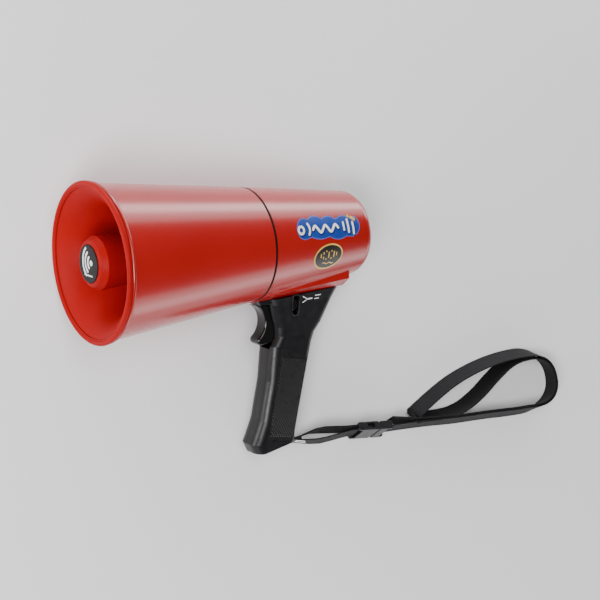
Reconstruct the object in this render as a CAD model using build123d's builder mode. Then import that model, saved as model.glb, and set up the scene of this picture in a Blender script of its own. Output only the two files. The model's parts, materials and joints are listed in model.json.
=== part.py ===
"""Handheld megaphone: a reflex horn, a rear housing and a pistol handle, lying on its side.

Each piece is drawn upright, with the origin in the middle of the mouth, +X towards the rear and
the handle hanging along -Z. At the end every piece is laid down on its side, handle towards -Y,
and the strap is drawn where it lies. Millimetres throughout.
"""
from build123d import *
import os
from math import asin, atan2, cos, degrees, hypot, radians, sin, tan

# ---------------------------------------------------------------- driving dimensions
mouth_radius = 75.0      # over the rolled lip of the flare
lip_radius = 2.5         # round edge of that lip
bell_length = 168.0      # mouth to the parting line
seam_radius = 56.0       # outside, at the parting line
body_length = 130.0      # parting line to the rear face
rear_radius = 43.0       # outside, where the rear edge starts to round
rear_rounding = 11.0
shell_wall = 2.2
seam_gap = 1.0           # the dark line between bell and rear body
spigot_length = 8.0      # of the bell, into the rear body
slip = 0.3               # clearance between pieces that move on each other
fit = 0.1                # clearance between fixed pieces

flare_depth = 92.0       # mouth to the bottom of the flare
flare_neck = 31.0        # inside radius there
flare_wall = 2.0
boss_radius = 25.0       # reflector, outside
boss_length = 44.0
badge_radius = 17.6
badge_thickness = 1.4
throat_radius = 9.0      # inside of the throat tube
throat_wall = 2.0
throat_front = 22.0      # where the tube ends inside the reflector

driver_radius = 33.0
driver_depth = 15.0
magnet_radius = 29.0
magnet_depth = 16.0
coil_radius = 12.7

saddle_length = 107.0    # from the parting line
saddle_half_width = 30.0
saddle_drop_front = 0.3  # saddle's underside below the round body at the parting line
saddle_drop_rear = 6.5   # and at the rear end

handle_wall = 2.4
grip_front_round = 11.0  # radius of the grip's front corners
grip_rear_round = 8.0
flange_reach = 8.0       # handle flange's front end, behind the parting line
flange_thickness = 4.0
panel_depth = 0.8        # recess of the grip's pattern field
heel_rise = 6.5          # of the handle's underside, from its toe to its heel

trigger_half_width = 8.0
trigger_travel = 6.0     # degrees, the trigger joint's range
pin_radius = 1.5
latch_width = 6.4
latch_length = 11.5
latch_travel = 4.0

cell_radius = 7.1        # AA cell
cell_length = 50.5
cell_count = 6
cup_radius = 12.0        # microphone grille
knob_radius = 7.0
knob_height = 6.0
panel_thickness = 2.5
panel_recess = 2.0       # rear panel below the rear face

webbing_width = 20.0
webbing_thickness = 1.4
ring_wire = 1.1          # radius of the strap ring's wire
ring_inside = 22.0       # room for the webbing
ring_reach = 13.0        # from lug bore to the ring's outer bar
ring_droop = 14.0        # degrees that the ring points below the handle's rear
buckle_length = 42.0
buckle_height = 26.0
buckle_thickness = 9.0

# ---------------------------------------------------------------- values worked out from them
parting = bell_length
rear_face = bell_length + body_length
shoulder = rear_face - rear_rounding
body_front = parting + seam_gap / 2
bell_rear = parting - seam_gap / 2
saddle_rear = parting + saddle_length
saddle_front_z = -(seam_radius + saddle_drop_front)
saddle_rear_z = -(rear_radius + saddle_drop_rear)
saddle_slope = (saddle_rear_z - saddle_front_z) / saddle_length
lip_back = 2 * lip_radius
bell_front_radius = mouth_radius - 2.2
tray_plate = 1.8
contact_thickness = 0.8
tray_front = parting + spigot_length + 3.0
cells_front = tray_front + tray_plate + contact_thickness
tray_rear = cells_front + cell_length + contact_thickness + tray_plate
wire_hole_x = tray_rear + 2.5


def body_radius(x):
    """Outside radius of the rear body at x."""
    share = (x - parting) / (shoulder - parting)
    return seam_radius + share * (rear_radius - seam_radius)


def bell_radius(x):
    """Outside radius of the bell at x."""
    share = (x - lip_back) / (bell_length - lip_back)
    return bell_front_radius + share * (seam_radius - bell_front_radius)


def saddle_z(x):
    """Height of the saddle's underside at x."""
    return saddle_front_z + saddle_slope * (x - parting)


pieces = {}
os.makedirs("parts", exist_ok=True)


def keep(builder, name):
    """Remember a finished piece under its node name."""
    pieces[name] = builder.part


# ---------------------------------------------------------------- horn: bell, seam, flare
spigot_outside = body_radius(parting + spigot_length) - shell_wall - slip
with BuildPart() as bell:
    with BuildSketch(Plane.XZ):
        with BuildLine():
            Polyline(
                (lip_back, bell_front_radius), (bell_rear, bell_radius(bell_rear)),
                (bell_rear, bell_radius(bell_rear) - shell_wall),
                (lip_back, bell_front_radius - shell_wall), close=True,
            )
        make_face()
        bead = 2.0
        with Locations((lip_back + bead, bell_front_radius - 0.5)):
            Circle(bead)
        with BuildLine():
            web_front = bell_rear - 6
            Polyline(
                (web_front, bell_radius(web_front) - 1), (web_front, spigot_outside - 2),
                (parting + spigot_length, spigot_outside - 2), (parting + spigot_length, spigot_outside),
                (web_front + 3, spigot_outside), (web_front + 3, bell_radius(web_front) - 1), close=True,
            )
        make_face()
    revolve(axis=Axis.X)
keep(bell, "horn_bell")

with BuildPart() as seam:
    with BuildSketch(Plane.XZ):
        with BuildLine():
            Polyline(
                (bell_rear + fit, spigot_outside + fit), (body_front - fit, spigot_outside + fit),
                (body_front - fit, seam_radius - 0.5), (bell_rear + fit, seam_radius - 0.5), close=True,
            )
        make_face()
    revolve(axis=Axis.X)
keep(seam, "seam_ring")

lip_centre = mouth_radius - lip_radius
flare_mouth = mouth_radius - 2 * lip_radius
with BuildPart() as flare:
    with BuildSketch(Plane.XZ):
        with BuildLine():
            inside = Spline(
                (lip_radius, flare_mouth), (0.3 * flare_depth, 48), (flare_depth, flare_neck),
                tangents=((0.55, -1), (1, -0.2)),
            )
            Line(inside @ 1, (flare_depth + flare_wall, flare_neck + flare_wall))
            Spline(
                (flare_depth + flare_wall, flare_neck + flare_wall),
                (0.3 * flare_depth, 48 + 1.2 * flare_wall),
                (lip_back + 1, flare_mouth - 1), tangents=((-1, 0.2), (-0.55, 1)),
            )
            Line((lip_back + 1, flare_mouth - 1), (lip_radius, flare_mouth))
        make_face()
        with Locations((lip_radius, lip_centre)):
            Circle(lip_radius)
        with Locations((lip_radius + 0.6, flare_mouth)):
            Rectangle(3.2, 1.6)
        with BuildLine():
            bottom_in = throat_radius + throat_wall + fit
            Polyline(
                (flare_depth, bottom_in), (flare_depth, flare_neck + 0.5),
                (flare_depth + flare_wall, flare_neck + flare_wall), (flare_depth + flare_wall, bottom_in),
                close=True,
            )
        make_face()
    revolve(axis=Axis.X)
keep(flare, "horn_flare")

# ---------------------------------------------------------------- reflector, badge, throat
boss_wall = 2.0
boss_front = 1.0
badge_seat = badge_radius + 0.25
with BuildPart() as reflector:
    with BuildSketch(Plane.XZ):
        with BuildLine():
            Polyline(
                (boss_front, 0), (boss_front, badge_seat + 1.5), (boss_front + 1.5, badge_seat + 3.5),
                (boss_front + 7, boss_radius), (boss_front + 14, boss_radius - 0.4),
                (boss_length, boss_radius - 3), (boss_length, boss_radius - 3 - boss_wall),
                (boss_front + 14, boss_radius - 0.4 - boss_wall), (boss_front + 9, boss_radius - 4),
                (boss_front + 5.5, badge_seat - 2), (boss_front + 4.5, 0), close=True,
            )
        make_face()
    revolve(axis=Axis.X)
    with BuildSketch(Plane.YZ.offset(boss_front)):
        Circle(badge_seat)
    extrude(amount=badge_thickness, mode=Mode.SUBTRACT)
    rib_in, rib_out = throat_radius + throat_wall, boss_radius - 3.5
    with BuildSketch(Plane.YZ.offset(boss_length - 12)):
        with PolarLocations((rib_in + rib_out) / 2, 3, start_angle=90):
            Rectangle(rib_out - rib_in, 1.8)
    extrude(amount=10)
keep(reflector, "reflector")

with BuildPart() as badge:
    with BuildSketch(Plane.YZ.offset(boss_front - 0.8)):
        Circle(badge_radius)
    extrude(amount=badge_thickness + 0.8)
    fillet(badge.edges().filter_by(GeomType.CIRCLE).sort_by(Axis.X)[0], 0.5)
keep(badge, "emblem_badge")

throat_flange = flare_depth + flare_wall
with BuildPart() as throat:
    with BuildSketch(Plane.XZ):
        with BuildLine():
            throat_outside = throat_radius + throat_wall
            Polyline(
                (throat_front, throat_radius + 0.6), (throat_front, throat_outside),
                (throat_flange, throat_outside), (throat_flange, flare_neck - 6),
                (throat_flange + 2.5, flare_neck - 6), (throat_flange + 2.5, throat_radius), close=True,
            )
        make_face()
    revolve(axis=Axis.X)
keep(throat, "throat_tube")

# ---------------------------------------------------------------- driver
driver_front = throat_flange + 2.5
driver_screw_ring = driver_radius - 3.5
with BuildPart() as driver_frame:
    with BuildSketch(Plane.XZ):
        with BuildLine():
            Polyline(
                (driver_front, throat_radius), (driver_front, driver_radius),
                (driver_front + 3, driver_radius), (driver_front + driver_depth, magnet_radius - 3),
                (driver_front + driver_depth, coil_radius + 6),
                (driver_front + driver_depth - 2, coil_radius + 6),
                (driver_front + driver_depth - 2, magnet_radius - 7), (driver_front + 4, driver_radius - 8),
                (driver_front + 2, driver_radius - 8), (driver_front + 2, throat_radius), close=True,
            )
        make_face()
    revolve(axis=Axis.X)
    with BuildSketch(Plane.YZ.offset(driver_front)):
        with PolarLocations(driver_screw_ring, 4, start_angle=45):
            Circle(1.25)
    extrude(amount=driver_depth, mode=Mode.SUBTRACT)
    with BuildSketch(Plane.YZ.offset(driver_front + 4)):
        with PolarLocations(driver_screw_ring, 4, start_angle=45):
            Circle(2.4)
    extrude(amount=driver_depth, mode=Mode.SUBTRACT)
keep(driver_frame, "driver_frame")

with BuildPart() as diaphragm:
    with BuildSketch(Plane.XZ):
        with BuildLine():
            dome_edge = driver_front + 4.2
            Polyline(
                (dome_edge, 0), (dome_edge + 1.5, coil_radius * 0.6), (dome_edge + 5, coil_radius),
                (dome_edge + 3.5, driver_radius - 9.8), (dome_edge + 4.1, driver_radius - 9.8),
                (dome_edge + 5.7, coil_radius), (dome_edge + 2.1, coil_radius * 0.6), (dome_edge + 0.6, 0),
                close=True,
            )
        make_face()
    revolve(axis=Axis.X)
keep(diaphragm, "driver_diaphragm")

magnet_front = driver_front + driver_depth
with BuildPart() as coil:
    with BuildSketch(Plane.YZ.offset(dome_edge + 5.7)):
        Circle(coil_radius)
        Circle(coil_radius - 0.8, mode=Mode.SUBTRACT)
    extrude(amount=magnet_front + 4 - dome_edge - 5.7)
keep(coil, "voice_coil")

with BuildPart() as magnet:
    with BuildSketch(Plane.YZ.offset(magnet_front)):
        Circle(magnet_radius)
    extrude(amount=magnet_depth)
    with BuildSketch(Plane.YZ.offset(magnet_front)):
        Circle(coil_radius + 0.5)
        Circle(coil_radius - 1.3, mode=Mode.SUBTRACT)
    extrude(amount=magnet_depth - 6, mode=Mode.SUBTRACT)
    chamfer(magnet.edges().filter_by(GeomType.CIRCLE).sort_by(Axis.X)[-1], 1.2)
keep(magnet, "driver_magnet")

with BuildPart() as driver_screws:
    with BuildSketch(Plane.YZ.offset(driver_front + 0.2)):
        with PolarLocations(driver_screw_ring, 4, start_angle=45):
            Circle(1.2)
    extrude(amount=4)
    with BuildSketch(Plane.YZ.offset(driver_front + 4)):
        with PolarLocations(driver_screw_ring, 4, start_angle=45):
            Circle(2.2)
    extrude(amount=1.6)
keep(driver_screws, "driver_screws")

# ---------------------------------------------------------------- rear body with its saddle
panel_radius = rear_radius - rear_rounding - 1.0
panel_front = rear_face - panel_recess - panel_thickness
panel_screw_radius = panel_radius - 2.8
cup_z = panel_radius - 2.0 - cup_radius
knob_z = -(panel_radius - 3.0 - knob_radius)
saddle_screw_places = [(parting + dx, side * 9.0) for dx in (76.0, 94.0) for side in (-1, 1)]
with BuildPart() as rear_body:
    with BuildSketch(Plane.XZ):
        with BuildLine():
            Polyline(
                (body_front, 0), (body_front, body_radius(body_front)), (shoulder, rear_radius),
                (rear_face, rear_radius), (rear_face, 0), close=True,
            )
        make_face()
        corner = vertices().group_by(Axis.X)[-1].sort_by(Axis.Y)[-1]
        fillet(corner, rear_rounding)
    revolve(axis=Axis.X)
    for x, flat in ((body_front, 12.0), (saddle_rear, 20.0)):
        deep = saddle_z(x)
        with BuildSketch(Plane.YZ.offset(x)):
            with BuildLine():
                Polyline(
                    (-saddle_half_width, -15), (saddle_half_width, -15), (saddle_half_width, deep + 8.5),
                    (flat, deep), (-flat, deep), (-saddle_half_width, deep + 8.5), close=True,
                )
            make_face()
    loft(ruled=True)
    with BuildSketch(Plane.XZ):
        with BuildLine():
            inner_shoulder = body_radius(shoulder) - shell_wall
            Polyline(
                (body_front - 1, 0), (body_front - 1, body_radius(body_front) - shell_wall),
                (shoulder, inner_shoulder), (rear_face - shell_wall, inner_shoulder),
                (rear_face - shell_wall, 0), close=True,
            )
        make_face()
        corner = vertices().group_by(Axis.X)[-1].sort_by(Axis.Y)[-1]
        fillet(corner, rear_rounding - shell_wall)
    revolve(axis=Axis.X, mode=Mode.SUBTRACT)
    with BuildSketch(Plane.YZ.offset(panel_front - 2)):
        Circle(rear_radius - shell_wall - 0.5)
        Circle(panel_radius - 5, mode=Mode.SUBTRACT)
        with Locations((0, cup_z)):
            Circle(cup_radius - 1.5, mode=Mode.SUBTRACT)
    extrude(amount=2)
    with BuildSketch(Plane.YZ.offset(panel_front)):
        Circle(panel_radius + 0.2)
    extrude(amount=panel_thickness + panel_recess + 1, mode=Mode.SUBTRACT)
    with BuildSketch(Plane.YZ.offset(panel_front - 3)):
        with PolarLocations(panel_screw_radius, 2):
            Circle(1.3)
    extrude(amount=6, mode=Mode.SUBTRACT)
    with BuildSketch(Plane.XY.offset(saddle_front_z - 2)):
        with Locations((wire_hole_x, 0)):
            Circle(4)
        with Locations(*saddle_screw_places):
            Circle(1.7)
    extrude(amount=7 - saddle_front_z - rear_radius, mode=Mode.SUBTRACT)
keep(rear_body, "rear_body")

# ---------------------------------------------------------------- rear panel: microphone, volume
with BuildPart() as rear_panel:
    with BuildSketch(Plane.YZ.offset(panel_front)):
        Circle(panel_radius)
    extrude(amount=panel_thickness)
    with BuildSketch(Plane.YZ.offset(panel_front)):
        with Locations((0, cup_z)):
            Circle(cup_radius - 1.5)
        with Locations((0, knob_z)):
            Circle(3.2)
        with PolarLocations(panel_screw_radius, 2):
            Circle(1.4)
    extrude(amount=panel_thickness, mode=Mode.SUBTRACT)
    with BuildSketch(Plane.YZ.offset(panel_front + 1)):
        with Locations((0, cup_z)):
            Circle(cup_radius + fit)
    extrude(amount=panel_thickness, mode=Mode.SUBTRACT)
keep(rear_panel, "rear_panel")

with BuildPart() as mic_grille:
    with BuildSketch(Plane.YZ.offset(panel_front + 1)):
        with Locations((0, cup_z)):
            Circle(cup_radius)
    extrude(amount=1.2)
    with BuildSketch(Plane.YZ.offset(panel_front + 1)):
        with Locations((0, cup_z)):
            Circle(0.9)
            for ring, holes in ((3.2, 6), (6.2, 12), (9.0, 18)):
                with PolarLocations(ring, holes):
                    Circle(0.9)
    extrude(amount=1.2, mode=Mode.SUBTRACT)
keep(mic_grille, "mic_grille")

mic_radius = 4.85
with BuildPart() as mic_mount:
    with BuildSketch(Plane.YZ.offset(panel_front - 8)):
        with Locations((0, cup_z)):
            Circle(cup_radius - 1.7)
            Circle(mic_radius, mode=Mode.SUBTRACT)
    extrude(amount=8.8)
keep(mic_mount, "mic_mount")

with BuildPart() as mic_capsule:
    with BuildSketch(Plane.YZ.offset(panel_front - 6.5)):
        with Locations((0, cup_z)):
            Circle(mic_radius)
    extrude(amount=6.7)
keep(mic_capsule, "mic_capsule")

with BuildPart() as panel_screws:
    with BuildSketch(Plane.YZ.offset(panel_front - 1.9)):
        with PolarLocations(panel_screw_radius, 2):
            Circle(1.2)
    extrude(amount=panel_thickness + 1.9)
    with BuildSketch(Plane.YZ.offset(panel_front + panel_thickness)):
        with PolarLocations(panel_screw_radius, 2):
            Circle(2.2)
    extrude(amount=1.4)
keep(panel_screws, "panel_screws")

shaft_radius = 3.0
knob_front = panel_front + panel_thickness + slip
with BuildPart() as knob:
    with BuildSketch(Plane.YZ.offset(knob_front)):
        with Locations((0, knob_z)):
            Circle(knob_radius)
    extrude(amount=knob_height)
    fillet(knob.edges().filter_by(GeomType.CIRCLE).sort_by(Axis.X)[-1], 1.0)
    with BuildSketch(Plane.YZ.offset(knob_front + 1)):
        with Locations((0, knob_z)):
            with PolarLocations(knob_radius + 0.3, 18):
                Circle(0.7)
    extrude(amount=knob_height, mode=Mode.SUBTRACT)
    with BuildSketch(Plane.YZ.offset(panel_front - 6)):
        with Locations((0, knob_z)):
            Circle(shaft_radius)
    extrude(amount=knob_front - panel_front + 6)
keep(knob, "volume_knob")

with BuildPart() as pot:
    with BuildSketch(Plane.YZ.offset(panel_front - 9)):
        with Locations((0, knob_z)):
            Circle(8)
            Circle(shaft_radius + 0.1, mode=Mode.SUBTRACT)
    extrude(amount=6.5)
keep(pot, "volume_pot")

# ---------------------------------------------------------------- batteries and electronics
tray_radius = body_radius(tray_rear) - shell_wall - 1.2
cell_ring = tray_radius - cell_radius - 1.5
with BuildPart() as tray:
    for plate_x in (tray_front, tray_rear - tray_plate):
        with BuildSketch(Plane.YZ.offset(plate_x)):
            Circle(tray_radius)
        extrude(amount=tray_plate)
    with BuildSketch(Plane.YZ.offset(tray_front)):
        Circle(cell_ring - cell_radius - 1.0)
    extrude(amount=tray_rear - tray_front)
    with BuildSketch(Plane.YZ.offset(tray_front)):
        Circle(cell_ring - cell_radius - 3.0)
    extrude(amount=tray_rear - tray_front, mode=Mode.SUBTRACT)
keep(tray, "battery_tray")

with BuildPart() as batteries:
    with BuildSketch(Plane.YZ.offset(cells_front)):
        with PolarLocations(cell_ring, cell_count, start_angle=30):
            Circle(cell_radius)
    extrude(amount=cell_length - 1)
    with BuildSketch(Plane.YZ.offset(cells_front)):
        with PolarLocations(cell_ring, cell_count, start_angle=30):
            Circle(2.6)
    extrude(amount=cell_length)
keep(batteries, "batteries")

with BuildPart() as contacts:
    for contact_x in (cells_front - contact_thickness, cells_front + cell_length):
        with BuildSketch(Plane.YZ.offset(contact_x)):
            with PolarLocations(cell_ring, cell_count, start_angle=30):
                Circle(4.5)
        extrude(amount=contact_thickness)
keep(contacts, "battery_contacts")

board_front = tray_rear + 5.0
board_thickness = 1.6
board_half = 27.0
board_rear = board_front + board_thickness
with BuildPart() as board:
    with BuildSketch(Plane.YZ.offset(board_front)):
        Rectangle(2 * board_half, 2 * board_half)
        fillet(vertices(), 4)
        with GridLocations(2 * board_half - 8, 2 * board_half - 8, 2, 2):
            Circle(1.6, mode=Mode.SUBTRACT)
    extrude(amount=board_thickness)
keep(board, "amplifier_board")

with BuildPart() as board_parts:
    with BuildSketch(Plane.YZ.offset(board_rear)):
        with Locations((-18, 14), (-18, 2)):
            Circle(5)
    extrude(amount=16)
    with BuildSketch(Plane.YZ.offset(board_rear)):
        with Locations((-17, -12), (2, 18)):
            Rectangle(10, 8)
    extrude(amount=3)
    with BuildSketch(Plane.YZ.offset(board_rear)):
        with Locations((20, 10)):
            Rectangle(4, 26)
        with Locations((17, 0), (17, 10), (17, 20)):
            Rectangle(6, 1.2)
    extrude(amount=14)
keep(board_parts, "board_parts")

with BuildPart() as transformer:
    with BuildSketch(Plane.YZ.offset(board_rear)):
        with Locations((9, -14)):
            Rectangle(20, 16)
    extrude(amount=4)
    with BuildSketch(Plane.YZ.offset(board_rear + 4)):
        with Locations((9, -14)):
            Rectangle(14, 16)
    extrude(amount=8)
    with BuildSketch(Plane.YZ.offset(board_rear + 12)):
        with Locations((9, -14)):
            Rectangle(20, 16)
    extrude(amount=4)
keep(transformer, "output_transformer")

# ---------------------------------------------------------------- pistol handle
# each section of the handle: depth below the saddle's rear end, front and rear x measured from
# the parting line, and half the width
handle_sections = (
    (-12.0, 18.0, 107.0, 20.5),
    (1.5, 18.0, 103.0, 20.0),
    (12.0, 23.0, 97.0, 18.5),
    (35.5, 29.0, 85.0, 16.5),
    (45.0, 29.5, 77.5, 15.8),
    (55.0, 23.5, 74.0, 15.5),
    (90.0, 20.0, 66.0, 15.5),
    (130.0, 11.5, 57.0, 15.5),
    (146.0, 5.0, 53.5, 15.5),
    (153.0, 1.5, 53.0, 15.5),
    (163.0, 6.0, 49.0, 15.5),
)
handle_bottom = saddle_rear_z - handle_sections[-1][0]
heel_x = parting + handle_sections[-1][2]
toe_x = parting + handle_sections[-1][1] + 6.0
heel_z = handle_bottom + heel_rise


def handle_block(inset, last=len(handle_sections)):
    """The handle's block, every section drawn in by inset."""
    with BuildPart() as block:
        for depth, front, rear, half in handle_sections[:last]:
            with BuildSketch(Plane.XY.offset(saddle_rear_z - depth)):
                with Locations((parting + (front + rear) / 2, 0)):
                    Rectangle(rear - front - 2 * inset, 2 * (half - inset))
                fillet(vertices().group_by(Axis.X)[0], grip_front_round - inset)
                fillet(vertices().group_by(Axis.X)[-1], grip_rear_round - inset)
        loft(ruled=True)
    return block.part


def above_saddle(gap):
    """Corners, side on, of everything higher than gap below the saddle's underside."""
    front, rear = parting - 20, saddle_rear + 20
    return (front, saddle_z(front) - gap), (rear, saddle_z(rear) - gap), (rear, 0), (front, 0)


trigger_top = saddle_z(parting + 9) - 6.0
trigger_bottom = saddle_rear_z - 53.0
pivot = (parting + 31.5, trigger_top - 5.0)
pocket_rear = parting + 44.0
latch_x = parting + 49.0
latch_top = saddle_z(latch_x) - 4.0
lug_x = heel_x + 4.5
lug_z = heel_z - 1.0
lug_half_width = 5.0
lug_radius = 4.0
screw_places = ((61.0, -43.0), (32.0, -100.0), (45.0, -148.0))

with BuildPart() as handle:
    add(handle_block(0))
    with BuildSketch(Plane.XZ):
        with BuildLine():
            Polyline(
                (toe_x, handle_bottom), (heel_x, heel_z), (heel_x + 20, heel_z),
                (heel_x + 20, handle_bottom - 5), (toe_x, handle_bottom - 5), close=True,
            )
        make_face()
    extrude(amount=40, both=True, mode=Mode.SUBTRACT)
    with BuildSketch(Plane.XZ):
        with BuildLine():
            flange_front, flange_end = parting + flange_reach, parting + 100
            Polyline(
                (flange_front, saddle_z(flange_front)), (flange_end, saddle_z(flange_end)),
                (flange_end, saddle_z(flange_end) - flange_thickness),
                (flange_front + 2, saddle_z(flange_front) - flange_thickness), close=True,
            )
        make_face()
    extrude(amount=14.0, both=True)
    with BuildSketch(Plane.XZ):
        with BuildLine():
            Polyline(*above_saddle(0), close=True)
        make_face()
    extrude(amount=60, both=True, mode=Mode.SUBTRACT)
    with BuildSketch(Plane.XZ):
        with BuildLine():
            Polyline(
                (parting - 5, trigger_top + 1.2), (pocket_rear, trigger_top + 1.2),
                (pocket_rear, trigger_bottom - 4), (parting - 5, trigger_bottom - 4), close=True,
            )
        make_face()
    extrude(amount=trigger_half_width + slip + 0.3, both=True, mode=Mode.SUBTRACT)

with BuildPart() as handle_cavity:
    add(handle_block(handle_wall, len(handle_sections) - 1))
    with BuildSketch(Plane.XZ):
        with BuildLine():
            Polyline(*above_saddle(3.0), close=True)
        make_face()
    extrude(amount=60, both=True, mode=Mode.SUBTRACT)
    for dx, dz in screw_places:
        with BuildSketch(Plane.XZ.offset(-30)):
            with Locations((parting + dx, saddle_rear_z + dz)):
                Circle(4.0)
        extrude(amount=60, mode=Mode.SUBTRACT)
    with BuildSketch(Plane.XZ.offset(-lug_half_width - 3)):
        with Locations((lug_x - 13, lug_z)):
            Rectangle(14, 14)
    extrude(amount=2 * lug_half_width + 6, mode=Mode.SUBTRACT)

with BuildPart() as handle_shell:
    add(handle.part)
    add(handle_cavity.part, mode=Mode.SUBTRACT)
    with BuildSketch(Plane.XY.offset(saddle_front_z - 12)):
        with Locations((wire_hole_x, 0)):
            Circle(4)
        with Locations(*saddle_screw_places):
            Circle(1.7)
    extrude(amount=saddle_rear_z - saddle_front_z + 13.2, mode=Mode.SUBTRACT)
    with BuildSketch(Plane.XZ.offset(-lug_half_width - slip)):
        with Locations((lug_x, lug_z)):
            Circle(lug_radius + slip)
            with Locations((-6, 0)):
                Rectangle(12 + 2 * slip, 2 * lug_radius + 2 * slip)
    extrude(amount=2 * lug_half_width + 2 * slip, mode=Mode.SUBTRACT)
    with BuildSketch(Plane.XZ.offset(-13)):
        with Locations(*[(parting + dx, saddle_rear_z + dz) for dx, dz in screw_places]):
            Circle(1.5)
    extrude(amount=20, mode=Mode.SUBTRACT)
    with BuildSketch(Plane.XZ.offset(-30)):
        with Locations(*[(parting + dx, saddle_rear_z + dz) for dx, dz in screw_places]):
            Circle(3.1)
    extrude(amount=30 - 12.5, mode=Mode.SUBTRACT)
    with BuildSketch(Plane.XZ):
        with Locations(pivot):
            Circle(pin_radius)
    extrude(amount=13.5, both=True, mode=Mode.SUBTRACT)
    slot_half = latch_width / 2 + slip
    slot_floor = latch_top - latch_length - latch_travel - slip
    with BuildSketch(Plane.XZ.offset(8)):
        with Locations((latch_x, slot_floor + slot_half)):
            Circle(slot_half)
        with Locations((latch_x, slot_floor + slot_half + 15)):
            Rectangle(2 * slot_half, 30)
    extrude(amount=20, mode=Mode.SUBTRACT)

# pattern fields on both sides of the grip: (x from the parting line, depth below the saddle)
panel_corners = ((35.0, 57.0), (66.0, 70.0), (47.0, 156.0), (17.5, 150.0))
grip_half_width = handle_sections[-1][3]


def panel_block(inset, inner, outer):
    """The pattern fields of both sides, from inner to outer distance off the middle plane."""
    with BuildPart() as block:
        for side in (-1, 1):
            with BuildSketch(Plane.XZ.offset(side * inner)):
                with BuildLine():
                    Polyline(*[(parting + x, saddle_rear_z - d) for x, d in panel_corners], close=True)
                make_face()
                if inset:
                    offset(amount=-inset, kind=Kind.INTERSECTION, mode=Mode.REPLACE)
                fillet(vertices(), 2.5)
            extrude(amount=side * (outer - inner))
    return block.part


for name, side in (("left", Keep.TOP), ("right", Keep.BOTTOM)):
    with BuildPart() as half:
        add(handle_shell.part)
        add(panel_block(0, grip_half_width - panel_depth, grip_half_width + 1), mode=Mode.SUBTRACT)
        split(bisect_by=Plane.XZ, keep=side)
    keep(half, f"handle_{name}")
    with BuildPart() as field:
        add(panel_block(fit, grip_half_width - panel_depth, grip_half_width))
        split(bisect_by=Plane.XZ, keep=side)
    keep(field, f"grip_panel_{name}")

with BuildPart() as handle_screws:
    for x, z in [(parting + dx, saddle_rear_z + dz) for dx, dz in screw_places]:
        with BuildSketch(Plane.XZ.offset(-12.5)):
            with Locations((x, z)):
                Circle(2.9)
        extrude(amount=-1.8)
        with BuildSketch(Plane.XZ.offset(-12.5)):
            with Locations((x, z)):
                Circle(1.4)
        extrude(amount=18)
keep(handle_screws, "handle_screws")

with BuildPart() as saddle_screws:
    for x, y in saddle_screw_places:
        head_top = saddle_z(x) - 3.0 - 3.0 * saddle_slope - 0.01
        with BuildSketch(Plane.XY.offset(head_top - 2.2)):
            with Locations((x, y)):
                Circle(3.0)
        extrude(amount=2.2)
        with BuildSketch(Plane.XY.offset(head_top - 0.2)):
            with Locations((x, y)):
                Circle(1.5)
        extrude(amount=8.0)
keep(saddle_screws, "saddle_screws")

# ---------------------------------------------------------------- trigger, switch, latch
pivot_x, pivot_z = pivot
spring_half_length = 4.0
with BuildPart() as trigger:
    with BuildSketch(Plane.XZ):
        with BuildLine():
            tip = (parting + 9.5, trigger_top + 0.4)
            chin = (parting + 11.5, trigger_bottom + 7.5)
            ThreePointArc(tip, (parting + 19.5, (trigger_top + chin[1]) / 2 + 3), chin)
            ThreePointArc(chin, (parting + 11.8, trigger_bottom + 2.6), (parting + 16, trigger_bottom + 0.3))
            Polyline(
                (parting + 16, trigger_bottom + 0.3), (parting + 31, trigger_bottom + 1.5),
                (pivot_x + 2.0, pivot_z - 22), (pivot_x + 3.5, pivot_z), (pivot_x, pivot_z + 4.2),
                (parting + 12, trigger_top), tip,
            )
        make_face()
    extrude(amount=trigger_half_width, both=True)
    fillet(trigger.edges().filter_by(GeomType.CIRCLE), 2.2)
    with BuildSketch(Plane.XZ):
        with Locations(pivot):
            Circle(pin_radius + 0.06)
    extrude(amount=trigger_half_width, both=True, mode=Mode.SUBTRACT)
    with BuildSketch(Plane.XZ):
        with Locations((pivot_x + 1.5, pivot_z)):
            Rectangle(10, 9.6)
    extrude(amount=spring_half_length, both=True, mode=Mode.SUBTRACT)
keep(trigger, "trigger")

with BuildPart() as pin:
    with BuildSketch(Plane.XZ):
        with Locations(pivot):
            Circle(pin_radius)
    extrude(amount=13.4, both=True)
keep(pin, "trigger_pin")

spring_wire = 0.4
with BuildPart() as spring:
    with BuildSketch(Plane.XZ):
        with Locations(pivot):
            Circle(pin_radius + 0.1 + 2 * spring_wire)
            Circle(pin_radius + 0.1, mode=Mode.SUBTRACT)
    extrude(amount=spring_half_length - 0.6, both=True)
    with BuildSketch(Plane.XZ):
        with Locations((pivot_x + 5.5, pivot_z + 1.9)):
            Rectangle(9, 2 * spring_wire)
    extrude(amount=spring_wire)
keep(spring, "trigger_spring")

switch_x = parting + 35.0
switch_z = pivot_z - 21.0
with BuildPart() as switch:
    with BuildSketch(Plane.XY.offset(switch_z - 3.5)):
        with Locations((switch_x + 5.0, 0)):
            Rectangle(6, 12)
    extrude(amount=7)
    with BuildSketch(Plane.YZ.offset(switch_x + 0.9)):
        with Locations((0, switch_z)):
            Circle(1.4)
    extrude(amount=1.2)
keep(switch, "talk_switch")

latch_z = latch_top - latch_length / 2
latch_face = 16.4
with BuildPart() as latch:
    with BuildSketch(Plane.XZ.offset(latch_face - 6.2)):
        with Locations((latch_x, latch_z)):
            SlotOverall(latch_length, latch_width, rotation=90)
    extrude(amount=6.2)
    fillet(latch.faces().sort_by(Axis.Y)[0].edges(), 0.7)
    for step in (-2.4, 0, 2.4):
        with BuildSketch(Plane.XZ.offset(latch_face - 0.6)):
            with Locations((latch_x, latch_z + step)):
                Rectangle(4.0, 0.8)
        extrude(amount=1, mode=Mode.SUBTRACT)
keep(latch, "latch")

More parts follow.
